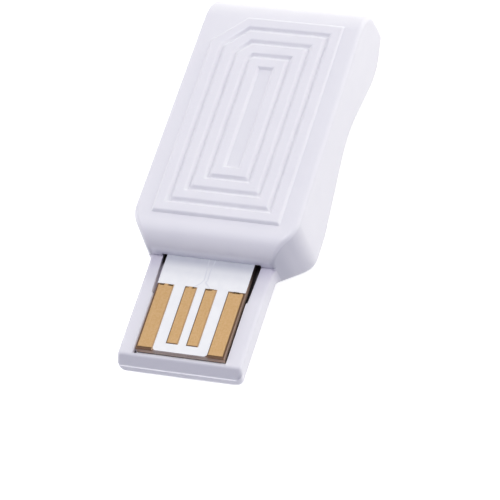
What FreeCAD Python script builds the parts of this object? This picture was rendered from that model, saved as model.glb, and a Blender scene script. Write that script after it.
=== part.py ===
import FreeCAD, Part

import os

import Sketcher

# USB radio adapter: a sculpted two-part housing with a shell-less plug tongue, and a
# circuit board that runs from the tongue into the body. Millimetres; +Z is up, the plug
# points towards -Y and X runs across the width. The origin is the centre of the footprint,
# on the surface that the adapter lies on.

SIZES = {
    # Plug tongue: its width and the depths below the contact plane
    "tongue_length": 11.65,
    "tongue_width": 12.25,
    "tongue_depth": 2.55,
    "rim_drop": 0.35,
    "nose_chamfer": 0.9,
    "nose_ledge": 0.05,
    "nose_brow_radius": 0.5,
    "nose_radius": 0.7,
    # Body outline, widths at the contact plane
    "body_length": 28.85,
    "front_width": 16.7,
    "rear_width": 16.3,
    "neck_setback": 0.3,
    "shoulder_length": 2.6,
    "neck_radius": 1.2,
    "shoulder_radius": 3.2,
    "rear_corner_radius": 0.95,
    "side_draft": 3.0,
    # Body profile: heights and depths from the contact plane, places from the body's front,
    # the rear bulge from its rear, and the waist as a share of the body's length
    "contact_height": 4.7,
    "top_rise": 2.2,
    "front_slope_radius": 2.3,
    "tail_radius": 3.5,
    "tail_overhang": 0.3,
    "front_bulge_depth": 4.7,
    "rear_bulge_depth": 4.4,
    "waist_depth": 2.6,
    "rear_end_depth": 2.6,
    "chin_place": -0.35,
    "front_bulge_start": 3.3,
    "front_bulge_end": 6.4,
    "waist_share": 0.5754,
    "rear_bulge_start": 5.05,
    "rear_bulge_end": 3.05,
    "chin_radius": 1.6,
    "front_bulge_radius": 3.2,
    "waist_radius": 12.0,
    "rear_bulge_radius": 4.0,
    "top_edge_radius": 0.5,
    "bottom_edge_radius": 0.9,
    # Relief on the top
    "relief_rise": 0.25,
    "relief_width": 12.66,
    "relief_front": 3.24,
    "relief_rear": 3.07,
    "relief_corner": 2.9,
    "ridge_pitch": 1.49,
    "ridge_width": 1.11,
    "groove_depth": 0.26,
    "relief_angle": 45,
    # Hollow of the body, and the lip by which the shells locate; the lip takes its share of
    # the side wall
    "cavity_front": 2.4,
    "rear_wall": 2.15,
    "ceiling_rise": 1.25,
    "floor_thickness": 1.25,
    "floor_front_rise": 1.25,
    "floor_end_rise": 0.65,
    "floor_lead": 0.6,
    "floor_trail": 1.6,
    "waist_floor": 1.05,
    "floor_aft": 0.8,
    "lip_share": 0.483,
    "lip_depth": 0.75,
    "lip_lead": 0.8,
    "lip_clearance": 0.05,
    # Gaps beside the board in the pocket of the tongue, from its end to the slot of the body
    "pocket_end_gap": 0.35,
    "pocket_side_gap": 0.2,
    "pocket_step": 3.9,
    "pocket_step_gap": 0.32,
    "slot_side_gap": 0.55,
    "slot_rise": 0.1,
    # Posts under the board, pins through it and bosses on top of it
    "post_inset": 1.3,
    "front_post_share": 0.1733,
    "rear_post_share": 0.8146,
    "post_diameter": 2.2,
    "post_length": 3.0,
    "pin_diameter": 1.2,
    "pin_rise": 0.9,
    "boss_diameter": 2.6,
    "boss_root": 0.2,
    "board_hole_clearance": 0.2,
    "boss_bore_clearance": 0.1,
    # Circuit board, its mask and its contacts
    "board_thickness": 0.8,
    "plating": 0.05,
    "mask_thickness": 0.03,
    "mask_gap": 0.1,
    "mask_corner_radius": 0.3,
    "board_front": 10.23,
    "board_neck_gap": 0.2,
    "board_rear_gap": 3.35,
    "board_side_gap": 0.5,
    "board_tongue_width": 8.76,
    "board_width": 12.4,
    "contact_rear": 3.22,
    "contact_neck": 0.5,
    "inner_contact_place": 1.0,
    "inner_contact_width": 1.02,
    "inner_contact_front": 9.27,
    "outer_contact_place": 3.5,
    "outer_contact_width": 1.42,
    "outer_contact_front": 10.0,
    # Packages on the board
    "lead_width": 0.4,
    "lead_length": 0.6,
    "lead_height": 0.5,
    "lead_pitch": 0.95,
    "cap_share": 0.25,
    "cap_edge": 0.04,
    "can_flange": 0.15,
    "can_radius": 0.4,
    "pad_standoff": 0.05,
    "mark_diameter": 0.5,
    "mark_depth": 0.1,
}

# Place across, place along as a share of the body's length, then width, length and height
PACKAGES = {
    "surge_protector": (0.0, 0.1525, 2.9, 1.6, 1.0),
    "ferrite_bead": (0.0, 0.2565, 2.0, 1.25, 0.85),
    "voltage_regulator": (3.9, 0.2842, 2.9, 1.6, 1.0),
    "memory_chip": (-3.9, 0.2808, 3.0, 2.0, 0.6),
    "radio_chip": (0.0, 0.4541, 6.0, 6.0, 0.85),
    "crystal": (0.0, 0.6378, 3.2, 2.5, 0.8),
    "balun_filter": (0.0, 0.7418, 2.0, 1.25, 0.8),
    "chip_antenna": (0.0, 0.8423, 3.2, 1.6, 1.0),
    "capacitor_1": (-4.6, 0.3917, 0.8, 1.6, 0.8),
    "capacitor_2": (4.6, 0.3987, 0.8, 1.6, 0.8),
    "capacitor_3": (-4.6, 0.5095, 0.8, 1.6, 0.8),
    "capacitor_4": (4.6, 0.5095, 0.8, 1.6, 0.8),
    "resistor_1": (-3.2, 0.6378, 0.8, 1.6, 0.45),
    "resistor_2": (3.2, 0.6378, 0.8, 1.6, 0.45),
}

# Row that each contact belongs to and the side of the middle that it lies on
CONTACTS = {
    "contact_power": ("outer", 1),
    "contact_data_minus": ("inner", 1),
    "contact_data_plus": ("inner", -1),
    "contact_ground": ("outer", -1),
}

TRAITS = ("across", "share", "width", "length", "height")
for package, numbers in PACKAGES.items():
    for trait, number in zip(TRAITS, numbers):
        SIZES[f"{package}_{trait}"] = number

FRONT = "((Sizes.tongue_length - Sizes.body_length) / 2)"
REAR = f"({FRONT} + Sizes.body_length)"
TIP = f"({FRONT} - Sizes.tongue_length)"
CONTACT = "Sizes.contact_height"
TOP = f"({CONTACT} + Sizes.top_rise)"
RIM = f"({CONTACT} - Sizes.rim_drop)"
UNDERSIDE = f"({CONTACT} - Sizes.tongue_depth)"
FLARE = f"({CONTACT} * tan(Sizes.side_draft))"
CEILING = f"({CONTACT} + Sizes.ceiling_rise)"
BOARD_TOP = f"({CONTACT} - Sizes.plating)"
BOARD_BASE = f"({BOARD_TOP} - Sizes.board_thickness)"
MASK_TOP = f"({BOARD_TOP} + Sizes.mask_thickness)"
RELIEF_TOP = f"({TOP} + Sizes.relief_rise)"
WAIST = f"({FRONT} + Sizes.waist_share * Sizes.body_length)"
CAVITY_HALF = "(Sizes.board_width / 2 + Sizes.board_side_gap)"
CAVITY_FRONT = f"({FRONT} + Sizes.cavity_front)"
CAVITY_REAR = f"({REAR} - Sizes.rear_wall)"
LIP_WIDTH = f"((Sizes.rear_width / 2 - {CAVITY_HALF}) * Sizes.lip_share)"
SLOT_HALF = "(Sizes.board_tongue_width / 2 + Sizes.slot_side_gap)"
BOARD_FRONT = f"({FRONT} - Sizes.board_front)"
BOARD_NECK = f"({CAVITY_FRONT} + Sizes.board_neck_gap)"
BOARD_REAR = f"({REAR} - Sizes.board_rear_gap)"
CONTACT_REAR = f"({FRONT} - Sizes.contact_rear)"
RIDGES = 4
MARGIN = 1

# Tolerances for finding edges and faces, and the least length of an edge across the width
CLOSE = 0.02
NEAR = 0.5
WIDE = 5
TOUCH = 0.001


def make_sheet(doc):
    sheet = doc.addObject("Spreadsheet::Sheet", "Sizes")
    for row, (name, number) in enumerate(SIZES.items(), start=1):
        sheet.set(f"A{row}", name)
        sheet.set(f"B{row}", str(number))
        sheet.setAlias(f"B{row}", name)
    doc.recompute()


def value(expression):
    return float(FreeCAD.ActiveDocument.Sizes.evalExpression(expression.replace("Sizes.", "")))


def new_body(doc, name, base=None):
    body = doc.addObject("PartDesign::Body", name)
    body.Label = name
    if base:
        body.BaseFeature = base
        base.Visibility = False
    return body


def origin_plane(body, role):
    return [item for item in body.Origin.OriginFeatures if item.Role == role][0]


def normal(face):
    low_u, high_u, low_v, high_v = face.ParameterRange
    return face.normalAt((low_u + high_u) / 2, (low_v + high_v) / 2)


def draw(body, name, plane, outlines, height=None):
    """Closed outlines of straight lines; each corner is a pair of expressions."""
    sketch = body.newObject("Sketcher::SketchObject", name)
    sketch.AttachmentSupport = (origin_plane(body, plane), [""])
    sketch.MapMode = "FlatFace"
    if height:
        sketch.setExpression("AttachmentOffset.Base.z", height)
    for corners in outlines:
        first = sketch.GeometryCount
        count = len(corners)
        points = [FreeCAD.Vector(value(across), value(along), 0) for across, along in corners]
        for index in range(count):
            sketch.addGeometry(Part.LineSegment(points[index], points[(index + 1) % count]), False)
        for index in range(count):
            nearest = first + (index + 1) % count
            sketch.addConstraint(Sketcher.Constraint("Coincident", first + index, 2, nearest, 1))
        for index, (across, along) in enumerate(corners):
            point = points[index]
            for kind, number, expression in (("DistanceX", point.x, across), ("DistanceY", point.y, along)):
                constraint = sketch.addConstraint(Sketcher.Constraint(kind, -1, 1, first + index, 1, number))
                sketch.setExpression(f"Constraints[{constraint}]", expression)
    return sketch


def draw_circles(body, name, plane, places, diameter, height):
    """Circles on one plane, each centre a pair of expressions."""
    sketch = body.newObject("Sketcher::SketchObject", name)
    sketch.AttachmentSupport = (origin_plane(body, plane), [""])
    sketch.MapMode = "FlatFace"
    sketch.setExpression("AttachmentOffset.Base.z", height)
    radius = value(diameter) / 2
    for across, along in places:
        centre = FreeCAD.Vector(value(across), value(along), 0)
        circle = sketch.addGeometry(Part.Circle(centre, FreeCAD.Vector(0, 0, 1), radius), False)
        sizes = [
            (sketch.addConstraint(Sketcher.Constraint("DistanceX", -1, 1, circle, 3, centre.x)), across),
            (sketch.addConstraint(Sketcher.Constraint("DistanceY", -1, 1, circle, 3, centre.y)), along),
            (sketch.addConstraint(Sketcher.Constraint("Diameter", circle, 2 * radius)), diameter),
        ]
        for constraint, expression in sizes:
            sketch.setExpression(f"Constraints[{constraint}]", expression)
    return sketch


def rectangle(left, right, front, rear):
    return [(left, front), (right, front), (right, rear), (left, rear)]


def mirrored(corners):
    """The right half of an outline, from front to rear, with its left half added."""
    return corners + [(f"-({across})", along) for across, along in reversed(corners)]


def pad(body, name, sketch, length, symmetric=False, draft=None, flip=False, kind="Pad"):
    feature = body.newObject(f"PartDesign::{kind}", name)
    feature.Profile = sketch
    feature.setExpression("Length", length)
    if symmetric:
        feature.SideType = "Symmetric"
    if draft:
        feature.setExpression("TaperAngle", draft)
    feature.Reversed = flip
    sketch.Visibility = False
    return feature


def fillet(body, name, test, radius):
    body.Document.recompute()
    base = body.Tip
    edges = [f"Edge{index}" for index, edge in enumerate(base.Shape.Edges, start=1) if test(edge)]
    feature = body.newObject("PartDesign::Fillet", name)
    feature.Base = (base, edges)
    feature.setExpression("Radius", radius)
    return feature


def middle(edge):
    return edge.valueAt((edge.FirstParameter + edge.LastParameter) / 2)


def along_x(edge):
    box = edge.BoundBox
    return box.XLength > WIDE and box.YLength < CLOSE and box.ZLength < CLOSE


def upright(edge):
    box = edge.BoundBox
    return box.ZLength > 2 * max(box.XLength, box.YLength)


def outline_body(doc):
    """Plan outline of tongue and body as a drafted block, with its upright corners rounded."""
    body = new_body(doc, "Outline")
    corners = mirrored([
        (f"Sizes.tongue_width / 2 + {FLARE}", f"{TIP} - {FLARE}"),
        (f"Sizes.tongue_width / 2 + {FLARE}", f"{FRONT} - Sizes.neck_setback"),
        (f"Sizes.front_width / 2 + {FLARE}", f"{FRONT} + Sizes.shoulder_length"),
        (f"Sizes.rear_width / 2 + {FLARE}", f"{REAR} + {FLARE}"),
    ])
    sketch = draw(body, "OutlineSketch", "XY_Plane", [corners])
    block = pad(body, "OutlineBlock", sketch, f"{TOP} + {MARGIN}")
    doc.recompute()
    faces = enumerate(block.Shape.Faces, start=1)
    sides = [f"Face{index}" for index, face in faces if abs(normal(face).z) < NEAR]
    lean = body.newObject("PartDesign::Draft", "SideDraft")
    lean.Base = (block, sides)
    lean.NeutralPlane = (origin_plane(body, "XY_Plane"), [""])
    lean.setExpression("Angle", "Sizes.side_draft")
    rounds = [
        ("NoseCorners", TIP, "Sizes.nose_radius"),
        ("NeckBlends", f"{FRONT} - Sizes.neck_setback", "Sizes.neck_radius"),
        ("ShoulderCorners", f"{FRONT} + Sizes.shoulder_length", "Sizes.shoulder_radius"),
        ("RearCorners", REAR, "Sizes.rear_corner_radius"),
    ]
    for name, place, radius in rounds:
        target = value(place)
        fillet(body, name, lambda edge: upright(edge) and abs(middle(edge).y - target) < NEAR, radius)
    return body


def bend(body, name, place, radius):
    """Round the edge across the width that passes through a place in the YZ plane."""
    target_y, target_z = [value(part) for part in place]

    def here(edge):
        point = middle(edge)
        return along_x(edge) and abs(point.y - target_y) < CLOSE and abs(point.z - target_z) < CLOSE

    return fillet(body, name, here, radius)


def tray_profile(doc):
    """Side view of the lower shell up to the split, wider than the outline, with its bends."""
    body = new_body(doc, "TrayProfile")
    low = f"{CONTACT} - Sizes.front_bulge_depth"
    aft = f"{CONTACT} - Sizes.rear_bulge_depth"
    bends = [
        ("RearBulgeAft", (f"{REAR} - Sizes.rear_bulge_end", aft), "Sizes.rear_bulge_radius"),
        ("RearBulgeFore", (f"{REAR} - Sizes.rear_bulge_start", aft), "Sizes.rear_bulge_radius"),
        ("Waist", (WAIST, f"{CONTACT} - Sizes.waist_depth"), "Sizes.waist_radius"),
        ("FrontBulgeAft", (f"{FRONT} + Sizes.front_bulge_end", low), "Sizes.front_bulge_radius"),
        ("FrontBulgeFore", (f"{FRONT} + Sizes.front_bulge_start", low), "Sizes.front_bulge_radius"),
        ("Chin", (f"{FRONT} + Sizes.chin_place", UNDERSIDE), "Sizes.chin_radius"),
    ]
    brow = (f"{TIP} + Sizes.nose_chamfer", RIM)
    ledge = f"{RIM} - (Sizes.nose_chamfer - Sizes.nose_ledge)"
    corners = [
        brow,
        (f"{REAR} + {MARGIN}", RIM),
        (f"{REAR} + {MARGIN}", f"{CONTACT} - Sizes.rear_end_depth"),
        *[place for name, place, radius in bends],
        (f"{TIP} - {MARGIN}", UNDERSIDE),
        (f"{TIP} - {MARGIN}", ledge),
        (f"{TIP} + Sizes.nose_ledge", ledge),
    ]
    sketch = draw(body, "TrayProfileSketch", "YZ_Plane", [corners])
    pad(body, "TrayProfileBlock", sketch, f"Sizes.front_width + 4 * {MARGIN}", symmetric=True)
    for name, place, radius in bends:
        bend(body, name, place, radius)
    bend(body, "NoseBrow", brow, "Sizes.nose_brow_radius")
    return body


def lid_profile(doc):
    """Side view of the upper shell above the split."""
    body = new_body(doc, "LidProfile")
    brow = (FRONT, TOP)
    tail = (f"{REAR} + Sizes.tail_overhang", TOP)
    corners = [
        (FRONT, UNDERSIDE),
        brow,
        tail,
        (f"{REAR} + Sizes.tail_overhang", UNDERSIDE),
    ]
    width = f"Sizes.front_width + 4 * {MARGIN}"
    sketch = draw(body, "LidProfileSketch", "YZ_Plane", [corners])
    pad(body, "LidProfileBlock", sketch, width, symmetric=True)
    bend(body, "FrontSlope", brow, "Sizes.front_slope_radius")
    bend(body, "TailRound", tail, "Sizes.tail_radius")
    below = rectangle(f"{FRONT} - {MARGIN}", f"{REAR} + 2 * {MARGIN}", f"{UNDERSIDE} - {MARGIN}", RIM)
    sketch = draw(body, "SplitSketch", "YZ_Plane", [below])
    pad(body, "Split", sketch, width, symmetric=True, kind="Pocket")
    return body


def combine(doc, kind, name, base, tool):
    feature = doc.addObject(f"Part::{kind}", name)
    feature.Base = base
    feature.Tool = tool
    return feature


def lies_on(point, shape):
    return shape.Shells[0].distToShape(Part.Vertex(point))[0] < TOUCH


def soften(body, name, walls, skin, facing, radius):
    """Round the edges where the outline walls meet profile faces that point the right way."""
    body.Document.recompute()
    base = body.Tip
    edges = []
    for index, edge in enumerate(base.Shape.Edges, start=1):
        point = middle(edge)
        if not (lies_on(point, walls.Shape) and lies_on(point, skin.Shape)):
            continue
        for face in base.Shape.ancestorsOfType(edge, Part.Face):
            across, along = face.Surface.parameter(face.CenterOfMass)
            centre = face.Surface.value(across, along)
            if lies_on(centre, skin.Shape) and not lies_on(centre, walls.Shape):
                across, along = face.Surface.parameter(point)
                if facing(face.normalAt(across, along), point):
                    edges.append(f"Edge{index}")
    feature = body.newObject("PartDesign::Fillet", name)
    feature.Base = (base, edges)
    feature.setExpression("Radius", radius)
    return feature


# Sides of the front and the rear post of each pair
PINNED = (-1, 1)
PLAIN = (1, -1)


def post_places(sides):
    across = "(Sizes.board_width / 2 - Sizes.post_inset)"
    return [
        (f"{sides[0]} * {across}", f"{FRONT} + Sizes.front_post_share * Sizes.body_length"),
        (f"{sides[1]} * {across}", f"{FRONT} + Sizes.rear_post_share * Sizes.body_length"),
    ]


def relief_outline(inset):
    """One closed line of the relief, cut at 45 degrees at its rear left corner."""
    half = f"(Sizes.relief_width / 2 - ({inset}))"
    leg = f"(Sizes.relief_corner - (2 - sqrt(2)) * ({inset}))"
    near = f"({FRONT} + Sizes.relief_front + ({inset}))"
    far = f"({REAR} - Sizes.relief_rear - ({inset}))"
    cut = [(f"-{half} + {leg}", far), (f"-{half}", f"{far} - {leg}")]
    return [(half, near), (half, far), *cut, (f"-{half}", near)]


def add_relief(body):
    """Nested ridges on the top, made as steps that go down and up again towards the middle."""
    lean = "Sizes.relief_angle"
    half_rise = "Sizes.relief_rise * tan(Sizes.relief_angle) / 2"
    half_depth = "Sizes.groove_depth * tan(Sizes.relief_angle) / 2"
    floor = f"{RELIEF_TOP} - Sizes.groove_depth"
    sketch = draw(body, "ReliefSketch", "XY_Plane", [relief_outline(f"-({half_rise})")], TOP)
    pad(body, "Relief", sketch, "Sizes.relief_rise", draft=f"-{lean}")
    for ridge in range(RIDGES):
        inner = f"{ridge} * Sizes.ridge_pitch + Sizes.ridge_width"
        outline = relief_outline(f"{inner} - {half_depth}")
        if ridge == RIDGES - 1:
            right, near, far = outline[0][0], outline[0][1], outline[1][1]
            outline = rectangle(f"-{right}", right, near, far)
        sketch = draw(body, f"Groove{ridge}Sketch", "XY_Plane", [outline], RELIEF_TOP)
        pad(body, f"Groove{ridge}", sketch, "Sizes.groove_depth", draft=f"-{lean}", kind="Pocket")
        if ridge < RIDGES - 1:
            outline = relief_outline(f"({ridge + 1}) * Sizes.ridge_pitch - {half_depth}")
            sketch = draw(body, f"Ridge{ridge}Sketch", "XY_Plane", [outline], floor)
            pad(body, f"Ridge{ridge}", sketch, "Sizes.groove_depth", draft=f"-{lean}")


def hollow_lid(body):
    """Cavity, slot, locating lip and bosses of the upper shell."""
    outline = rectangle(f"-{CAVITY_HALF}", CAVITY_HALF, CAVITY_FRONT, CAVITY_REAR)
    sketch = draw(body, "CeilingSketch", "XY_Plane", [outline], RIM)
    pad(body, "Ceiling", sketch, f"{CEILING} - {RIM}", flip=True, kind="Pocket")
    outline = rectangle(f"-{SLOT_HALF}", SLOT_HALF, f"{FRONT} - {MARGIN}", f"{CAVITY_FRONT} + {MARGIN}")
    sketch = draw(body, "SlotSketch", "XY_Plane", [outline], RIM)
    pad(body, "Slot", sketch, "Sizes.slot_rise + Sizes.rim_drop", flip=True, kind="Pocket")
    outer = f"({CAVITY_HALF} + {LIP_WIDTH})"
    front = f"{CAVITY_FRONT} + Sizes.lip_lead"
    rear = f"{CAVITY_REAR} + {LIP_WIDTH}"
    lip = [
        (f"-{outer}", front),
        (f"-{outer}", rear),
        (outer, rear),
        (outer, front),
        (CAVITY_HALF, front),
        (CAVITY_HALF, CAVITY_REAR),
        (f"-{CAVITY_HALF}", CAVITY_REAR),
        (f"-{CAVITY_HALF}", front),
    ]
    sketch = draw(body, "LipSketch", "XY_Plane", [lip], RIM)
    pad(body, "Lip", sketch, "Sizes.lip_depth", flip=True)
    root = f"{CEILING} + Sizes.boss_root"
    reach = f"{root} - {MASK_TOP}"
    sketch = draw_circles(body, "BossSketch", "XY_Plane", post_places(PINNED), "Sizes.boss_diameter", root)
    pad(body, "Bosses", sketch, reach, flip=True)
    bore = "Sizes.pin_diameter + Sizes.boss_bore_clearance"
    sketch = draw_circles(body, "BoreSketch", "XY_Plane", post_places(PINNED), bore, MASK_TOP)
    pad(body, "BossBores", sketch, f"{CEILING} - {MASK_TOP}", flip=True, kind="Pocket")
    sketch = draw_circles(body, "StudSketch", "XY_Plane", post_places(PLAIN), "Sizes.post_diameter", root)
    pad(body, "Studs", sketch, reach, flip=True)


def hollow_tray(body):
    """Cavity, rebate, tongue pocket, posts and pins of the lower shell."""
    above = f"{RIM} + {MARGIN}"
    low = f"{CONTACT} - Sizes.front_bulge_depth + Sizes.floor_thickness"
    aft = f"{CONTACT} - Sizes.rear_bulge_depth + Sizes.floor_thickness"
    side_view = [
        (CAVITY_FRONT, above),
        (CAVITY_REAR, above),
        (CAVITY_REAR, f"{aft} + Sizes.floor_end_rise"),
        (f"{REAR} - Sizes.rear_bulge_start - Sizes.floor_aft", aft),
        (WAIST, f"{CONTACT} - Sizes.waist_depth + Sizes.waist_floor"),
        (f"{FRONT} + Sizes.front_bulge_end + Sizes.floor_trail", low),
        (f"{FRONT} + Sizes.front_bulge_start + Sizes.floor_lead", low),
        (CAVITY_FRONT, f"{low} + Sizes.floor_front_rise"),
    ]
    sketch = draw(body, "CavitySketch", "YZ_Plane", [side_view])
    pad(body, "Cavity", sketch, f"2 * {CAVITY_HALF}", symmetric=True, kind="Pocket")
    outer = f"({CAVITY_HALF} + {LIP_WIDTH} + Sizes.lip_clearance)"
    front = f"{CAVITY_FRONT} + Sizes.lip_lead - Sizes.lip_clearance"
    rear = f"{CAVITY_REAR} + {LIP_WIDTH} + Sizes.lip_clearance"
    sketch = draw(body, "RebateSketch", "XY_Plane", [rectangle(f"-{outer}", outer, front, rear)], RIM)
    pad(body, "Rebate", sketch, "Sizes.lip_depth + Sizes.lip_clearance", kind="Pocket")
    half = "Sizes.board_tongue_width / 2"
    step = f"{FRONT} - Sizes.pocket_step"
    pocket = mirrored([
        (f"{half} + Sizes.pocket_side_gap", f"{BOARD_FRONT} - Sizes.pocket_end_gap"),
        (f"{half} + Sizes.pocket_side_gap", step),
        (f"{half} + Sizes.pocket_step_gap", step),
        (SLOT_HALF, FRONT),
        (SLOT_HALF, f"{CAVITY_FRONT} + {MARGIN}"),
    ])
    sketch = draw(body, "PocketSketch", "XY_Plane", [pocket], RIM)
    pad(body, "TonguePocket", sketch, f"{RIM} - {BOARD_BASE}", kind="Pocket")
    every = post_places(PINNED) + post_places(PLAIN)
    sketch = draw_circles(body, "PostSketch", "XY_Plane", every, "Sizes.post_diameter", BOARD_BASE)
    pad(body, "Posts", sketch, "Sizes.post_length", flip=True)
    pins = post_places(PINNED)
    sketch = draw_circles(body, "PinSketch", "XY_Plane", pins, "Sizes.pin_diameter", BOARD_BASE)
    pad(body, "Pins", sketch, f"{CONTACT} + Sizes.pin_rise - {BOARD_BASE}")


def board_outline():
    """The wide rear part of the board with the narrow tongue in front of it."""
    return [
        ("Sizes.board_tongue_width / 2", BOARD_FRONT),
        ("Sizes.board_tongue_width / 2", BOARD_NECK),
        ("Sizes.board_width / 2", BOARD_NECK),
        ("Sizes.board_width / 2", BOARD_REAR),
    ]


def board_holes(body, top, depth):
    diameter = "Sizes.pin_diameter + Sizes.board_hole_clearance"
    sketch = draw_circles(body, "HoleSketch", "XY_Plane", post_places(PINNED), diameter, top)
    pad(body, "Holes", sketch, depth, kind="Pocket")


def make_board(doc):
    body = new_body(doc, "circuit_board")
    sketch = draw(body, "BoardSketch", "XY_Plane", [mirrored(board_outline())], BOARD_BASE)
    pad(body, "Board", sketch, "Sizes.board_thickness")
    board_holes(body, BOARD_TOP, "Sizes.board_thickness")
    return body


def make_mask(doc):
    """Film on top of the board, open around the four contacts."""
    body = new_body(doc, "solder_mask")
    inner_edge = "Sizes.outer_contact_place - Sizes.outer_contact_width / 2 - Sizes.mask_gap"
    opening = f"{CONTACT_REAR} + Sizes.mask_gap"
    tongue_half = "Sizes.board_tongue_width / 2"
    outline = mirrored([
        (inner_edge, BOARD_FRONT),
        (inner_edge, opening),
        (tongue_half, opening),
        (tongue_half, BOARD_NECK),
        ("Sizes.board_width / 2", BOARD_NECK),
        ("Sizes.board_width / 2", BOARD_REAR),
    ])
    windows = []
    for side in (-1, 1):
        centre = f"{side} * Sizes.inner_contact_place"
        half = "(Sizes.inner_contact_width / 2 + Sizes.mask_gap)"
        near = f"{FRONT} - Sizes.inner_contact_front - Sizes.mask_gap"
        windows.append(rectangle(f"{centre} - {half}", f"{centre} + {half}", near, opening))
    sketch = draw(body, "MaskSketch", "XY_Plane", [outline, *windows], BOARD_TOP)
    pad(body, "Mask", sketch, "Sizes.mask_thickness")
    board_holes(body, MASK_TOP, "Sizes.mask_thickness")
    doc.recompute()
    nearest = value(BOARD_FRONT)

    def front_corner(edge):
        return upright(edge) and abs(middle(edge).y - nearest) < CLOSE

    fillet(body, "MaskCorners", front_corner, "Sizes.mask_corner_radius")
    return body


def make_contact(doc, name, row, side):
    """One flat contact with the short neck by which its track leaves it."""
    body = new_body(doc, name)
    centre = f"{side} * Sizes.{row}_contact_place"
    half = f"Sizes.{row}_contact_width / 2"
    half_neck = "Sizes.contact_neck / 2"
    front = f"{FRONT} - Sizes.{row}_contact_front"
    outline = [
        (f"{centre} - {half}", front),
        (f"{centre} + {half}", front),
        (f"{centre} + {half}", CONTACT_REAR),
        (f"{centre} + {half_neck}", CONTACT_REAR),
        (f"{centre} + {half_neck}", f"{CONTACT_REAR} + Sizes.mask_gap"),
        (f"{centre} - {half_neck}", f"{CONTACT_REAR} + Sizes.mask_gap"),
        (f"{centre} - {half_neck}", CONTACT_REAR),
        (f"{centre} - {half}", CONTACT_REAR),
    ]
    sketch = draw(body, f"{name}_sketch", "XY_Plane", [outline], BOARD_TOP)
    pad(body, f"{name}_film", sketch, "Sizes.plating")
    return body


def place_rectangle(name, across, along, width, length):
    """Rectangle round a point given from the middle of one package."""
    x = f"Sizes.{name}_across + {across}"
    y = f"{FRONT} + Sizes.{name}_share * Sizes.body_length + {along}"
    half_width = f"({width}) / 2"
    half_length = f"({length}) / 2"
    left, right = f"{x} - {half_width}", f"{x} + {half_width}"
    return rectangle(left, right, f"{y} - {half_length}", f"{y} + {half_length}")


def layer(body, name, outlines, base, height):
    sketch = draw(body, f"{name}_sketch", "XY_Plane", outlines, base)
    return pad(body, name, sketch, height)


def make_capped(doc, name):
    """Small block with a metal cap at both ends of its longer side."""
    body = new_body(doc, name)
    width, length, height = [f"Sizes.{name}_{trait}" for trait in TRAITS[2:]]
    lengthwise = value(length) > value(width)
    span = length if lengthwise else width
    cap = f"{span} * Sizes.cap_share"
    shift = f"({span} - {cap}) / 2"
    caps = []
    for side in (-1, 1):
        if lengthwise:
            caps.append(place_rectangle(name, 0, f"{side} * {shift}", width, cap))
        else:
            caps.append(place_rectangle(name, f"{side} * {shift}", 0, cap, length))
    layer(body, f"{name}_caps", caps, MASK_TOP, height)
    if lengthwise:
        core = place_rectangle(name, 0, 0, f"{width} - 2 * Sizes.cap_edge", f"{length} - {cap}")
    else:
        core = place_rectangle(name, 0, 0, f"{width} - {cap}", f"{length} - 2 * Sizes.cap_edge")
    base = f"{MASK_TOP} + Sizes.cap_edge"
    layer(body, f"{name}_core", [core], base, f"{height} - 2 * Sizes.cap_edge")
    return body


def make_leaded(doc, name, front_leads, rear_leads):
    """Moulded package with flat leads along its front and rear sides."""
    body = new_body(doc, name)
    width, length, height = [f"Sizes.{name}_{trait}" for trait in TRAITS[2:]]
    block = place_rectangle(name, 0, 0, width, length)
    base = f"{MASK_TOP} + Sizes.pad_standoff"
    layer(body, f"{name}_block", [block], base, f"{height} - Sizes.pad_standoff")
    leads = []
    for side, columns in ((-1, front_leads), (1, rear_leads)):
        for column in columns:
            across = f"{column} * Sizes.lead_pitch"
            along = f"{side} * {length} / 2"
            leads.append(place_rectangle(name, across, along, "Sizes.lead_width", "2 * Sizes.lead_length"))
    layer(body, f"{name}_leads", leads, MASK_TOP, "Sizes.lead_height")
    return body


def make_flat(doc, name):
    """Moulded package with a mark by its first corner."""
    body = new_body(doc, name)
    width, length, height = [f"Sizes.{name}_{trait}" for trait in TRAITS[2:]]
    layer(body, f"{name}_block", [place_rectangle(name, 0, 0, width, length)], MASK_TOP, height)
    mark = (
        f"Sizes.{name}_across - {width} / 2 + Sizes.mark_diameter",
        f"{FRONT} + Sizes.{name}_share * Sizes.body_length - {length} / 2 + Sizes.mark_diameter",
    )
    top = f"{MASK_TOP} + {height}"
    sketch = draw_circles(body, f"{name}_mark_sketch", "XY_Plane", [mark], "Sizes.mark_diameter", top)
    pad(body, f"{name}_mark", sketch, "Sizes.mark_depth", kind="Pocket")
    return body


def make_can(doc, name):
    """Metal can with rounded corners on a flat flange."""
    body = new_body(doc, name)
    width, length, height = [f"Sizes.{name}_{trait}" for trait in TRAITS[2:]]
    flange = "Sizes.can_flange"
    inner = place_rectangle(name, 0, 0, f"{width} - 2 * {flange}", f"{length} - 2 * {flange}")
    layer(body, f"{name}_can", [inner], MASK_TOP, height)
    fillet(body, f"{name}_corners", upright, "Sizes.can_radius")
    layer(body, f"{name}_flange", [place_rectangle(name, 0, 0, width, length)], MASK_TOP, flange)
    return body


def make_package(doc, name):
    three = (-1, 0, 1)
    two = (-1, 1)
    if name == "voltage_regulator":
        return make_leaded(doc, name, three, two)
    if name == "surge_protector":
        return make_leaded(doc, name, three, three)
    if name in ("radio_chip", "memory_chip"):
        return make_flat(doc, name)
    if name == "crystal":
        return make_can(doc, name)
    return make_capped(doc, name)


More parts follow.
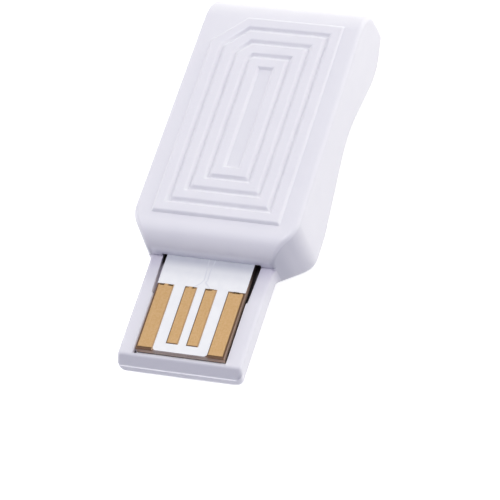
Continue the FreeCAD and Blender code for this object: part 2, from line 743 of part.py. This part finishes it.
def make_shells(doc):
    """Both shells from one outline, so that their sides are flush along the split."""
    walls = outline_body(doc)
    lid_skin = lid_profile(doc)
    tray_skin = tray_profile(doc)
    lid_blank = combine(doc, "Common", "LidBlank", walls, lid_skin)
    tray_blank = combine(doc, "Common", "TrayBlank", walls, tray_skin)
    doc.recompute()
    rim = value(RIM)

    def above_rim(facing, point):
        return point.z > rim + CLOSE

    def downward(facing, point):
        return facing.z < 0

    upper = new_body(doc, "upper_shell", lid_blank)
    soften(upper, "TopEdges", walls, lid_skin, above_rim, "Sizes.top_edge_radius")
    add_relief(upper)
    hollow_lid(upper)
    lower = new_body(doc, "lower_shell", tray_blank)
    soften(lower, "BottomEdges", walls, tray_skin, downward, "Sizes.bottom_edge_radius")
    hollow_tray(lower)
    return [upper, lower]


doc = FreeCAD.newDocument("adapter")
make_sheet(doc)
nodes = make_shells(doc)
nodes.append(make_board(doc))
nodes.append(make_mask(doc))
nodes += [make_contact(doc, name, row, side) for name, (row, side) in CONTACTS.items()]
nodes += [make_package(doc, name) for name in PACKAGES]
doc.recompute()
for item in doc.Objects:
    if "Invalid" in item.State or "Error" in item.State:
        raise RuntimeError(f"{item.Label} did not build")
os.makedirs("parts", exist_ok=True)
for node in nodes:
    if node.Shape.isNull() or not node.Shape.isValid() or not node.Shape.Solids:
        raise RuntimeError(f"{node.Label} is not a valid solid")
    node.Shape.exportStep(f"parts/{node.Label}.step")
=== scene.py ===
import math
import bpy
import bmesh
from mathutils import Matrix, Vector


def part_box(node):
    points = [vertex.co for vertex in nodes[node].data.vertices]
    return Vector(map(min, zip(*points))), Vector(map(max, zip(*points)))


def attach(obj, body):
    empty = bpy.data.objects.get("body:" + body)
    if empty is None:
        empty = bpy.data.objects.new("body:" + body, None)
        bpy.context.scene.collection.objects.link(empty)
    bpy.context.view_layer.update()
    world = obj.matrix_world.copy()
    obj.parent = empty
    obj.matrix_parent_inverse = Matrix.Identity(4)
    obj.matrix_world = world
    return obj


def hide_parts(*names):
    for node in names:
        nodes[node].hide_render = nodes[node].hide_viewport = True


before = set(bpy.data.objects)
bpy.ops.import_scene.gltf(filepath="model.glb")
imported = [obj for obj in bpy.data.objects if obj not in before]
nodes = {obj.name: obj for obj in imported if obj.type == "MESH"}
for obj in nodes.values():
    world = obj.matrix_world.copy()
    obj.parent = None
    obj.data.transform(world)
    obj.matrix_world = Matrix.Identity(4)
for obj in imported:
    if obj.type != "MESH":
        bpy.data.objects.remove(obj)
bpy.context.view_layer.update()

mm = 0.001
scene = bpy.context.scene
print("frame loaded:", len(nodes), "nodes")


# heights and places of the part that the looks refer to, in millimetres

def corners(node):
    return [Vector(corner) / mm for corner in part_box(node)]


boardLow, boardHigh = corners("circuit_board")
lidLow, lidHigh = corners("upper_shell")
contactHigh = corners("contact_power")[1]
maskTop = corners("solder_mask")[1].z
contactPlane = contactHigh.z
rimDrop = 0.35
rimPlane = contactPlane - rimDrop
bodyFront = lidLow.y
plugLength = 11.65
plugTip = bodyFront - plugLength


# shader expressions

class Wire:

    def __init__(self, tree, socket=None):
        self.tree = tree
        self.socket = socket

    def node(self, kind, settings, sockets, out=0):
        made = self.tree.nodes.new(kind)
        for name, setting in settings.items():
            setattr(made, name, setting)
        for key, given in sockets.items():
            if isinstance(given, Wire):
                self.tree.links.new(given.socket, made.inputs[key])
            else:
                made.inputs[key].default_value = given
        return Wire(self.tree, made.outputs[out])

    def math(self, operation, *values):
        return self.node("ShaderNodeMath", {"operation": operation}, dict(enumerate(values)))

    def __add__(self, other):
        return self.math("ADD", self, other)

    def __sub__(self, other):
        return self.math("SUBTRACT", self, other)

    def __rsub__(self, other):
        return self.math("SUBTRACT", other, self)

    def __mul__(self, other):
        return self.math("MULTIPLY", self, other)

    def __truediv__(self, other):
        return self.math("DIVIDE", self, other)

    def __gt__(self, other):
        return self.math("GREATER_THAN", self, other)

    def __lt__(self, other):
        return self.math("LESS_THAN", self, other)

    def __abs__(self):
        return self.math("ABSOLUTE", self)

    __radd__ = __add__
    __rmul__ = __mul__

    def root(self):
        return self.math("SQRT", self)

    def least(self, other):
        return self.math("MINIMUM", self, other)

    def most(self, other):
        return self.math("MAXIMUM", self, other)

    def smooth(self, low, high):
        sockets = {"Value": self, "From Min": low, "From Max": high}
        return self.node("ShaderNodeMapRange", {"interpolation_type": "SMOOTHSTEP"}, sockets)

    def fade(self, steps):
        return sum(self.smooth(low, high) * share for low, high, share in steps)

    def mixed(self, first, second):
        sockets = {0: self, 6: coloured(first), 7: coloured(second)}
        return self.node("ShaderNodeMix", {"data_type": "RGBA"}, sockets, out=2)


def coloured(given):
    return given if isinstance(given, Wire) else (*given, 1.0)


def newMaterial(name):
    made = bpy.data.materials.new(name)
    made.use_nodes = True
    tree = made.node_tree
    shader = tree.nodes["Principled BSDF"]
    wire = Wire(tree)
    place = wire.node("ShaderNodeTexCoord", {}, {}, out="Object")
    place = wire.node("ShaderNodeVectorMath", {"operation": "SCALE"}, {"Vector": place, "Scale": 1 / mm})
    axes = [wire.node("ShaderNodeSeparateXYZ", {}, {"Vector": place}, out=index) for index in range(3)]
    return made, shader, place, axes


def noise(place, scale, detail=2.0, stretch=None, roughness=0.5):
    if stretch:
        place = place.node("ShaderNodeMapping", {}, {"Vector": place, "Scale": stretch})
    sockets = {"Vector": place, "Scale": scale, "Detail": detail, "Roughness": roughness}
    return place.node("ShaderNodeTexNoise", {}, sockets)


def varied(grain, middle, spread):
    # the grain runs from 0 to 1
    return middle + (grain - 0.5) * spread


def feed(shader, name, wire):
    wire.tree.links.new(wire.socket, shader.inputs[name])


def bump(height, distance, under=None):
    sockets = {"Height": height, "Distance": distance * mm}
    if under:
        sockets["Normal"] = under
    return height.node("ShaderNodeBump", {}, sockets)


def dress(target, material):
    target.data.materials.clear()
    target.data.materials.append(material)


# housing plastic, with painted soft shades and painted light that keep to their places on the part

housingLook = {
    "colour": (0.800, 0.795, 0.815),
    "cloud": (0.790, 0.785, 0.808),
    "cloudScale": 0.35,
    "cloudRange": (0.35, 0.65),
    "roughness": (0.30, 0.06),
    "refraction": 1.50,
    "grainScale": 9.0,
    "grainDepth": 0.0016,
    "waveScale": 0.18,
    "waveDepth": 0.010,
    # painted shade at the root of the tongue: steps ahead of the body's front, heights from the rim
    "rootShade": (0.540, 0.520, 0.600),
    "rootSteps": [(0.1, 1.8, 0.67), (1.5, 4.0, 0.33)],
    "rootTop": 0.05,
    "rootRise": (-0.35, -0.05),
    "rootShare": 0.35,
    # painted light at the foot of the slope: heights from the contacts
    "footLight": (0.960, 0.955, 0.970),
    "footBase": -0.15,
    "footRise": (0.50, 0.95),
    "footSide": (5.6, 6.6),
    "footBehind": 0.8,
    # painted shade on the nose's bevel and painted light on its front below: heights from the rim
    "noseShade": (0.695, 0.690, 0.720),
    "noseLight": (0.940, 0.935, 0.940),
    "noseAhead": (10.75, 11.0),
    "noseTop": -0.02,
    "noseRise": (-0.86, -0.75),
    # painted shade on the shoulders: upward part of the normal, steps behind the body's front
    "shoulderShade": (0.596, 0.598, 0.641),
    "shoulderSteep": (0.15, 0.50),
    "shoulderSide": (5.7, 6.3),
    "shoulderSteps": [(0.4, 1.6, 0.68), (1.0, 5.5, 0.32)],
    # painted shade on the floor of the pocket: measured from the board's front and base, the body's
    # front and the rim
    "pocketShade": (0.012, 0.008, 0.010),
    "pocketFront": 0.06,
    "pocketRear": 3.0,
    "pocketHalf": 5.0,
    "pocketBase": -0.01,
    "pocketTop": -0.3,
    "leftShade": (0.560, 0.540, 0.620),
    "leftAhead": (0.3, 1.2),
    "cornerShade": (0.060, 0.045, 0.045),
    "cornerFront": -0.32,
    "cornerSide": -4.45,
}


# mask of the painted shade at the root of the tongue
def tongueRoot(look, ahead, z):
    overRim = z - rimPlane
    rise = look["rootShare"] + overRim.smooth(*look["rootRise"]) * (1 - look["rootShare"])
    return (ahead > 0.0) * (overRim < look["rootTop"]) * rise * (1 - ahead.fade(look["rootSteps"]))


# mask of the painted light at the foot of the slope
def slopeFoot(look, x, ahead, z):
    overContacts = z - contactPlane
    rise = (1 - overContacts.smooth(*look["footRise"])) * (overContacts > look["footBase"])
    return rise * (1 - abs(x).smooth(*look["footSide"])) * (ahead > -look["footBehind"])


# mask and colours of the painted shade on the nose's bevel and the painted light below it
def noseFront(look, ahead, z):
    overRim = z - rimPlane
    front = ahead.smooth(*look["noseAhead"]) * (overRim < look["noseTop"])
    return front, overRim.smooth(*look["noseRise"]).mixed(look["noseLight"], look["noseShade"])


# mask of the painted shade on the shoulders' upright walls
def shoulderWalls(look, x, y):
    facing = x.node("ShaderNodeTexCoord", {}, {}, out="Normal")
    upward = x.node("ShaderNodeSeparateXYZ", {}, {"Vector": facing}, out=2)
    walls = (1 - upward.smooth(*look["shoulderSteep"])) * abs(x).smooth(*look["shoulderSide"])
    behind = y - bodyFront
    return walls * (behind > 0.0) * (1 - behind.fade(look["shoulderSteps"]))


# mask and colours of the painted shade on the pocket's floor
def pocketFloor(look, x, y, z, ahead):
    beside = y > boardLow.y + look["pocketFront"]
    corner = (y > boardLow.y + look["cornerFront"]) * (x < look["cornerSide"])
    floor = (z > boardLow.z + look["pocketBase"]) * (z < rimPlane + look["pocketTop"])
    floor = floor * (abs(x) < look["pocketHalf"]) * beside.most(corner) * (ahead > -look["pocketRear"])
    left = (x < 0.0) * ahead.smooth(*look["leftAhead"])
    shade = left.mixed(look["pocketShade"], look["leftShade"])
    return floor, beside.mixed(look["cornerShade"], shade)


def housingPlastic(look):
    material, shader, place, (x, y, z) = newMaterial("housingWhite")
    ahead = bodyFront - y
    cloud = noise(place, look["cloudScale"], detail=3.0).smooth(*look["cloudRange"])
    white = cloud.mixed(look["colour"], look["cloud"])
    # painted shade darkens the tongue towards the body, and painted light brightens the foot of the
    # slope
    white = tongueRoot(look, ahead, z).mixed(white, look["rootShade"])
    white = slopeFoot(look, x, ahead, z).mixed(white, look["footLight"])
    # painted shade darkens the bevel of the nose, and painted light brightens the front below it
    front, shade = noseFront(look, ahead, z)
    white = front.mixed(white, shade)
    # painted shade darkens the upright walls of the two shoulders towards the tongue
    white = shoulderWalls(look, x, y).mixed(white, look["shoulderShade"])
    # painted deep shade on the floor of the pocket beside the board, less of it at the left
    floor, shade = pocketFloor(look, x, y, z, ahead)
    feed(shader, "Base Color", floor.mixed(white, shade))
    grain = noise(place, look["grainScale"], detail=3.0, roughness=0.6)
    feed(shader, "Roughness", varied(grain, *look["roughness"]))
    wave = bump(noise(place, look["waveScale"], detail=1.0), look["waveDepth"])
    feed(shader, "Normal", bump(grain, look["grainDepth"], under=wave))
    shader.inputs["IOR"].default_value = look["refraction"]
    return material


# copies of the two shells, with their sharp moulded edges rounded, in millimetres and degrees

shellLook = {
    "mergeWithin": 0.0015,
    "flatWithin": 0.4,
    "shortest": 0.001,
    "segments": 4,
    "sharpFrom": 24,
    "smoothBelow": 32,
    "flatWeight": 80,
    # foot of the slope: its gap over the mask, and the corners that it takes down
    "footGap": 0.008,
    "footReach": 0.12,
    "footHalf": 4.95,
    "footDepth": 0.02,
    # widths of the roundings
    "ridge": 0.13,
    "rim": 0.36,
    "nose": 0.07,
    "pocketLeft": 0.16,
    "pocketRight": 0.07,
    # their places: below the top or the rim, behind the plug's tip, and ahead of the body's front
    "ridgeDepth": 0.37,
    "rimDepth": 0.95,
    "noseFade": (0.05, 0.65),
    "pocketDepth": 0.03,
    "pocketFront": 0.9,
    "pocketHalf": 5.3,
    "leftSide": -3.0,
    "tongueRear": 0.05,
}


def selectOnly(piece):
    bpy.ops.object.select_all(action="DESELECT")
    piece.select_set(True)
    bpy.context.view_layer.objects.active = piece


def mergedCopy(node, name, look):
    piece = nodes[node].copy()
    piece.data = nodes[node].data.copy()
    piece.name = name
    piece.data.name = name
    piece.parent = None
    for key in list(piece.keys()):
        del piece[key]
    scene.collection.objects.link(piece)
    selectOnly(piece)
    bpy.ops.object.mode_set(mode="EDIT")
    bpy.ops.mesh.select_mode(type="EDGE")
    bpy.ops.mesh.select_all(action="SELECT")
    bpy.ops.mesh.remove_doubles(threshold=look["mergeWithin"] * mm)
    bpy.ops.mesh.customdata_custom_splitnormals_clear()
    bpy.ops.mesh.dissolve_limited(angle_limit=math.radians(look["flatWithin"]))
    bpy.ops.object.mode_set(mode="OBJECT")
    return piece


def closeFoot(piece, look):
    # the foot of the slope comes down to the mask, over the whole opening for the board
    level = maskTop + look["footGap"]
    reach = contactPlane + look["footReach"]
    work = bmesh.new()
    work.from_mesh(piece.data)
    for corner in work.verts:
        x, y, z = corner.co / mm
        if abs(x) < look["footHalf"] and abs(y - bodyFront) < look["footDepth"] and level < z < reach:
            corner.co.z = level * mm
    bmesh.ops.remove_doubles(work, verts=work.verts, dist=look["mergeWithin"] * mm)
    bmesh.ops.dissolve_degenerate(work, edges=work.edges, dist=look["shortest"] * mm)
    work.to_mesh(piece.data)
    work.free()


def roundEdges(piece, look, width):
    work = bmesh.new()
    work.from_mesh(piece.data)
    layers = work.edges.layers.float
    weight = layers.get("bevel_weight_edge") or layers.new("bevel_weight_edge")
    sharp = math.radians(look["sharpFrom"])
    count = 0
    for edge in work.edges:
        edge[weight] = 0.0
        if len(edge.link_faces) == 2 and edge.is_convex and edge.calc_face_angle(0) > sharp:
            edge[weight] = width((edge.verts[0].co + edge.verts[1].co) / (2 * mm), look)
            count += edge[weight] > 0
    work.to_mesh(piece.data)
    work.free()
    # an edge's weight is the width of its rounding in millimetres
    rounding = piece.modifiers.new("edges", "BEVEL")
    rounding.limit_method = "WEIGHT"
    rounding.width = mm
    rounding.segments = look["segments"]
    rounding.use_clamp_overlap = False
    rounding.harden_normals = False
    selectOnly(piece)
    bpy.ops.object.modifier_apply(modifier=rounding.name)
    bpy.ops.object.shade_smooth_by_angle(angle=math.radians(look["smoothBelow"]))
    flats = piece.modifiers.new("flats", "WEIGHTED_NORMAL")
    flats.keep_sharp = True
    flats.weight = look["flatWeight"]
    bpy.ops.object.modifier_apply(modifier=flats.name)
    print(piece.name, "edges rounded:", count, "faces:", len(piece.data.polygons))


def lidWidth(place, look):
    return look["ridge"] if place.z > lidHigh.z - look["ridgeDepth"] else 0.0


def trayWidth(place, look):
    if place.y > bodyFront - look["tongueRear"]:
        return 0.0
    behind = place.y - plugTip
    inner = abs(place.x) < look["pocketHalf"] and behind > look["pocketFront"]
    if inner and place.z > rimPlane - look["pocketDepth"]:
        side = "pocketLeft" if place.x < look["leftSide"] else "pocketRight"
        return look[side]
    if place.z > rimPlane - look["rimDepth"]:
        # the nose's narrow rounding widens to that of the rim
        start, end = look["noseFade"]
        share = min(1, max(0, (behind - start) / (end - start)))
        return look["nose"] + (look["rim"] - look["nose"]) * share
    return 0.0


plastic = housingPlastic(housingLook)
shells = [("upper_shell", "housingTop", lidWidth), ("lower_shell", "housingBase", trayWidth)]
for node, name, width in shells:
    piece = mergedCopy(node, name, shellLook)
    if node == "upper_shell":
        closeFoot(piece, shellLook)
    roundEdges(piece, shellLook, width)
    dress(piece, plastic)
    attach(piece, "root")
    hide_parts(node)
print("housing done")


# solder mask over the two data tracks, which are raised with a bump and darkened with painted shade, and
# a painted shadow of the body near the slope's foot

maskLook = {
    "colour": (0.910, 0.922, 0.895),
    # painted shadow of the body, with its steps ahead of the body's front
    "rootShade": (0.470, 0.486, 0.535),
    "rootSteps": [(0.25, 1.4, 0.735), (1.2, 2.6, 0.265)],
    "mottleScale": 1.1,
    "mottleRange": (0.3, 0.7),
    "mottleShare": 0.12,
    "roughness": (0.30, 0.08),
    "grainScale": 14.0,
    "grainDepth": 0.0008,
    # painted shade along the raised tracks
    "trackShade": (0.640, 0.655, 0.690),
    "trackShare": 0.5,
    "trackHalf": (0.02, 0.11),
    "trackRise": 0.012,
    # corners of the tracks, by their places across the board and behind the body's front
    "tracks": [
        [(-0.84, -3.15), (-0.24, -2.69), (0.02, -2.26), (-0.05, -1.27), (-0.12, -0.30), (-0.16, 0.6)],
        [(0.78, -3.05), (0.23, -2.50), (0.35, -2.29), (0.32, -1.27), (0.45, -0.31), (0.50, 0.6)],
    ],
}


def distanceToRun(x, y, start, end):
    alongX, alongY = end[0] - start[0], end[1] - start[1]
    square = alongX * alongX + alongY * alongY
    share = ((x - start[0]) * alongX + (y - start[1]) * alongY) / square
    share = share.most(0.0).least(1.0)
    acrossX = x - start[0] - share * alongX
    acrossY = y - start[1] - share * alongY
    return (acrossX * acrossX + acrossY * acrossY).root()


def maskFilm(look):
    material, shader, place, (x, y, z) = newMaterial("maskWhite")
    nearest = None
    for track in look["tracks"]:
        for start, end in zip(track, track[1:]):
            run = distanceToRun(x, y - bodyFront, start, end)
            nearest = nearest.least(run) if nearest else run
    line = 1 - nearest.smooth(*look["trackHalf"])
    mottle = noise(place, look["mottleScale"], detail=3.0).smooth(*look["mottleRange"])
    # painted shadow of the body darkens the film near the slope's foot
    film = (bodyFront - y).fade(look["rootSteps"]).mixed(look["rootShade"], look["colour"])
    # painted shade darkens the film along the tracks, and the mottle is the film's own tone varying at
    # random
    darker = line * look["trackShare"] + mottle * look["mottleShare"]
    feed(shader, "Base Color", darker.mixed(film, look["trackShade"]))
    grain = noise(place, look["grainScale"])
    feed(shader, "Roughness", varied(grain, *look["roughness"]))
    feed(shader, "Normal", bump(grain, look["grainDepth"], under=bump(line, look["trackRise"])))
    return material


dress(nodes["solder_mask"], maskFilm(maskLook))


# gold contacts, brushed and speckled, with a dark broken line at their rear edge

contactLook = {
    "gold": (0.384, 0.240, 0.108),
    "pale": (0.438, 0.288, 0.154),
    "toneRange": (0.32, 0.68),
    "brushScale": 3.0,
    "brushStretch": (3.0, 0.25, 1.0),
    "brushShare": 0.3,
    "brushDepth": 0.0010,
    "speckScale": 4.5,
    "edge": (0.050, 0.028, 0.012),
    "edgeFade": (0.16, 0.23),
    "breakScale": 2.2,
    "breakRange": (0.36, 0.56),
    "roughness": (0.42, 0.12),
}


def contactGold(look):
    material, shader, place, (x, y, z) = newMaterial("contactGold")
    brushed = noise(place, look["brushScale"], detail=4.0, stretch=look["brushStretch"], roughness=0.65)
    speck = noise(place, look["speckScale"], detail=4.0, roughness=0.7)
    tone = brushed * look["brushShare"] + speck * (1 - look["brushShare"])
    pad = tone.smooth(*look["toneRange"]).mixed(look["gold"], look["pale"])
    broken = noise(place, look["breakScale"]).smooth(*look["breakRange"])
    edge = (1 - (contactHigh.y - y).smooth(*look["edgeFade"])) * broken
    feed(shader, "Base Color", edge.mixed(pad, look["edge"]))
    feed(shader, "Roughness", varied(speck, *look["roughness"]))
    feed(shader, "Normal", bump(brushed, look["brushDepth"]))
    shader.inputs["Metallic"].default_value = 1.0
    return material


gold = contactGold(contactLook)
for name in ("contact_power", "contact_data_minus", "contact_data_plus", "contact_ground"):
    dress(nodes[name], gold)


# circuit board: woven glass in resin, sawn edges with painted light and shade, and bare laminate where
# the mask is open

boardLook = {
    "layerStretch": (0.8, 0.8, 9.0),
    "fibreScale": 7.0,
    "fibreStretch": (1.0, 1.0, 3.0),
    "fibreShare": 0.3,
    "fibreDepth": 0.004,
    "grainRange": (0.35, 0.65),
    "roughness": (0.55, 0.2),
    # sawn front, with painted light that makes it paler than the sides: its outer parts are tan under an
    # edge of copper, and painted shade of the gap darkens its base
    "front": (0.930, 0.800, 0.670),
    "frontDark": (0.660, 0.520, 0.420),
    "frontDepth": 0.03,
    "outer": (2.5, 2.9),
    "outerTan": (0.800, 0.540, 0.370),
    "outerGrain": 0.6,
    "copper": (0.300, 0.150, 0.060),
    "copperRise": (-0.24, -0.16),
    "frontGapShade": (0.075, 0.060, 0.060),
    "frontGapRise": (0.08, 0.20),
    # sawn sides: painted shade of the gap darkens their base and deepens towards the body
    "side": (0.520, 0.370, 0.280),
    "sideDark": (0.330, 0.240, 0.180),
    "gap": (0.016, 0.010, 0.009),
    "gapRise": (0.10, 0.26),
    "gapAhead": (0.6, 3.0),
    # face in the openings of the mask: dark, but bright on the lit side of a contact
    "laminate": (0.110, 0.052, 0.020),
    "lit": (0.560, 0.390, 0.240),
    "litBeside": ("contact_ground", "contact_data_plus", "contact_data_minus"),
    "litWidth": 0.12,
    "litOverlap": 0.01,
    "faceDepth": 0.004,
}


def sawnFront(look, grain, x, z):
    # the front's colours carry painted light, paler than the sides'
    front = grain.mixed(look["front"], look["frontDark"])
    outer = abs(x).smooth(*look["outer"])
    front = (outer * (1 - grain * look["outerGrain"])).mixed(front, look["outerTan"])
    copper = (z - boardHigh.z).smooth(*look["copperRise"]) * outer
    front = copper.mixed(front, look["copper"])
    # painted shade of the gap at the base of the front
    return (z - boardLow.z).smooth(*look["frontGapRise"]).mixed(look["frontGapShade"], front)


def sawnSide(look, grain, y, z):
    # painted shade of the gap at the base of the side, deepening towards the body
    low = 1 - (z - boardLow.z).smooth(*look["gapRise"])
    deep = low.most(1 - (bodyFront - y).smooth(*look["gapAhead"]))
    return deep.mixed(grain.mixed(look["side"], look["sideDark"]), look["gap"])


def bareLaminate(look, x):
    edges = [corners(name)[1].x for name in look["litBeside"]]
    lit = sum((x > edge - look["litOverlap"]) * (x < edge + look["litWidth"]) for edge in edges)
    return lit.mixed(look["laminate"], look["lit"])


def boardLaminate(look):
    material, shader, place, (x, y, z) = newMaterial("boardLaminate")
    layers = noise(place, 1.0, detail=3.0, stretch=look["layerStretch"], roughness=0.6)
    fibre = noise(place, look["fibreScale"], stretch=look["fibreStretch"])
    grain = layers * (1 - look["fibreShare"]) + fibre * look["fibreShare"]
    grain = grain.smooth(*look["grainRange"])
    behind = y > boardLow.y + look["frontDepth"]
    sawn = behind.mixed(sawnFront(look, grain, x, z), sawnSide(look, grain, y, z))
    face = z > boardHigh.z - look["faceDepth"]
    feed(shader, "Base Color", face.mixed(sawn, bareLaminate(look, x)))
    feed(shader, "Roughness", varied(fibre, *look["roughness"]))
    feed(shader, "Normal", bump(fibre, look["fibreDepth"]))
    return material


dress(nodes["circuit_board"], boardLaminate(boardLook))
print("board, mask and contacts done")


# packages inside the housing

packageLook = {
    "grainRange": (0.3, 0.7),
    "resin": (0.030, 0.030, 0.034),
    "ash": (0.060, 0.060, 0.064),
    "resinScale": 8.0,
    "resinDepth": 0.006,
    "resinRoughness": (0.5, 0.2),
    "tin": (0.620, 0.620, 0.600),
    "tinPale": (0.700, 0.690, 0.660),
    "tinScale": 5.0,
    "tinStretch": (4.0, 0.4, 1.0),
    "tinRoughness": (0.30, 0.15),
    "ceramicDark": 0.8,
    "ceramicScale": 10.0,
    "ceramicDepth": 0.004,
    "ceramicRoughness": (0.5, 0.15),
    "capFrom": 0.5,
    "capGloss": 0.15,
    "ceramics": {
        "capacitor": (0.420, 0.300, 0.200),
        "ferrite_bead": (0.090, 0.085, 0.085),
        "balun_filter": (0.560, 0.600, 0.620),
        "chip_antenna": (0.780, 0.780, 0.740),
        "resistor": (0.045, 0.045, 0.050),
    },
}


def mouldedResin(look):
    material, shader, place, axes = newMaterial("mouldedResin")
    grain = noise(place, look["resinScale"], detail=3.0)
    feed(shader, "Base Color", grain.smooth(*look["grainRange"]).mixed(look["resin"], look["ash"]))
    feed(shader, "Roughness", varied(grain, *look["resinRoughness"]))
    feed(shader, "Normal", bump(grain, look["resinDepth"]))
    return material


def tinnedEnds(look, node, colour):
    low, high = corners(node)
    centre, half = (low + high) / 2, (high - low) / 2
    material, shader, place, (x, y, z) = newMaterial(node + "Ends")
    away = abs(x - centre.x) / half.x if half.x > half.y else abs(y - centre.y) / half.y
    cap = away > look["capFrom"]
    grain = noise(place, look["ceramicScale"], detail=3.0)
    dark = [look["ceramicDark"] * part for part in colour]
    body = grain.smooth(*look["grainRange"]).mixed(colour, dark)
    feed(shader, "Base Color", cap.mixed(body, look["tin"]))
    feed(shader, "Metallic", cap)
    feed(shader, "Roughness", varied(grain, *look["ceramicRoughness"]) - cap * look["capGloss"])
    feed(shader, "Normal", bump(grain, look["ceramicDepth"]))
    return material


def plainTin(look):
    material, shader, place, axes = newMaterial("canTin")
    grain = noise(place, look["tinScale"], detail=4.0, stretch=look["tinStretch"])
    feed(shader, "Base Color", grain.mixed(look["tin"], look["tinPale"]))
    feed(shader, "Roughness", varied(grain, *look["tinRoughness"]))
    shader.inputs["Metallic"].default_value = 1.0
    return material


resin = mouldedResin(packageLook)
for name in ("radio_chip", "memory_chip", "voltage_regulator", "surge_protector"):
    dress(nodes[name], resin)
dress(nodes["crystal"], plainTin(packageLook))
for name in nodes:
    for start, colour in packageLook["ceramics"].items():
        if name.startswith(start):
            dress(nodes[name], tinnedEnds(packageLook, name, colour))
print("packages done")


# camera, as fitted to the photograph

cameraLook = {
    # degrees
    "azimuth": 36.807,
    "elevation": 53.709,
    "roll": 24.276,
    # millimetres
    "distance": 337.136,
    "sensor": 36.0,
    # pixels of the photograph
    "focal": 3638.38,
    "aim": (211.022, 259.559),
    "frame": 500,
    # metres
    "clip": (0.01, 10.0),
}


def placeCamera(look):
    azimuth, elevation, roll = [math.radians(look[name]) for name in ("azimuth", "elevation", "roll")]
    facing = Vector((math.sin(azimuth), -math.cos(azimuth), 0))
    back = facing * math.cos(elevation) + Vector((0, 0, math.sin(elevation)))
    level = Vector((math.cos(azimuth), math.sin(azimuth), 0))
    rise = back.cross(level)
    right = level * math.cos(roll) - rise * math.sin(roll)
    up = level * math.sin(roll) + rise * math.cos(roll)
    perPixel = look["distance"] / look["focal"]
    aimX, aimY = look["aim"]
    half = look["frame"] / 2
    place = Vector((0, bodyFront, contactPlane)) + back * look["distance"]
    place += -right * (aimX - half) * perPixel + up * (aimY - half) * perPixel
    camera = bpy.data.objects.new("camera", bpy.data.cameras.new("camera"))
    scene.collection.objects.link(camera)
    turn = Matrix((right, up, back)).transposed().to_4x4()
    camera.matrix_world = Matrix.Translation(place * mm) @ turn
    camera.data.sensor_width = look["sensor"]
    camera.data.lens = look["focal"] / look["frame"] * look["sensor"]
    camera.data.clip_start, camera.data.clip_end = look["clip"]
    scene.camera = camera


placeCamera(cameraLook)


# floor, world and lamps: sizes and places in metres, power in watts

studioLook = {
    "floorSize": 1.2,
    "floorColour": (0.60, 0.60, 0.60),
    "floorPale": (0.87, 0.87, 0.87),
    "floorScale": 0.02,
    "floorGlow": 0.80,
    "floorRoughness": 0.9,
    "world": (0.03, 0.035, 0.15),
    "backdrop": (1.0, 1.0, 1.0),
    "lampSize": 0.26,
    "reflected": "topLamp",
    "lamps": [
        ("topLamp", (0.0, 0.0, 0.42), 1.09, (1.0, 0.99, 0.98)),
        ("leftLamp", (-0.399, 0.0, 0.130), 0.93, (1.0, 0.975, 0.91)),
        ("rearLamp", (0.200, 0.346, 0.130), 0.92, (1.0, 1.0, 0.84)),
        ("rightLamp", (0.386, 0.103, 0.130), 0.59, (0.97, 0.94, 0.96)),
    ],
}


def seenDirectly(wire):
    kinds = ("Is Camera Ray", "Is Glossy Ray", "Is Transmission Ray")
    return sum(wire.node("ShaderNodeLightPath", {}, {}, out=kind) for kind in kinds).least(1.0)


def makeWorld(look):
    world = bpy.data.worlds.new("studio")
    scene.world = world
    world.use_nodes = True
    background = world.node_tree.nodes["Background"]
    seen = seenDirectly(Wire(world.node_tree))
    feed(background, "Color", seen.mixed(look["world"], look["backdrop"]))
    background.inputs["Strength"].default_value = 1.0


def makeFloor(look):
    bpy.ops.object.select_all(action="DESELECT")
    bpy.ops.mesh.primitive_plane_add(size=look["floorSize"], location=(0, 0, 0))
    floor = bpy.context.object
    floor.name = "studioFloor"
    material, shader, place, axes = newMaterial("floorPale")
    mottle = noise(place, look["floorScale"])
    feed(shader, "Base Color", mottle.mixed(look["floorColour"], look["floorPale"]))
    feed(shader, "Emission Color", seenDirectly(place).mixed((0.0, 0.0, 0.0), look["backdrop"]))
    shader.inputs["Emission Strength"].default_value = look["floorGlow"]
    shader.inputs["Roughness"].default_value = look["floorRoughness"]
    shader.inputs["Specular IOR Level"].default_value = 0.0
    dress(floor, material)


def makeLamps(look):
    for name, place, power, colour in look["lamps"]:
        lamp = bpy.data.objects.new(name, bpy.data.lights.new(name, "AREA"))
        scene.collection.objects.link(lamp)
        lamp.location = place
        lamp.rotation_mode = "QUATERNION"
        lamp.rotation_quaternion = Vector(place).to_track_quat("Z", "Y")
        lamp.data.size = look["lampSize"]
        lamp.data.energy = power
        lamp.data.color = colour
        # the low lamps don't show in reflections, which would clip the top to white from low angles
        lamp.visible_glossy = name == look["reflected"]


makeWorld(studioLook)
makeFloor(studioLook)
makeLamps(studioLook)
scene.view_settings.view_transform = "Standard"
print("camera and studio done")
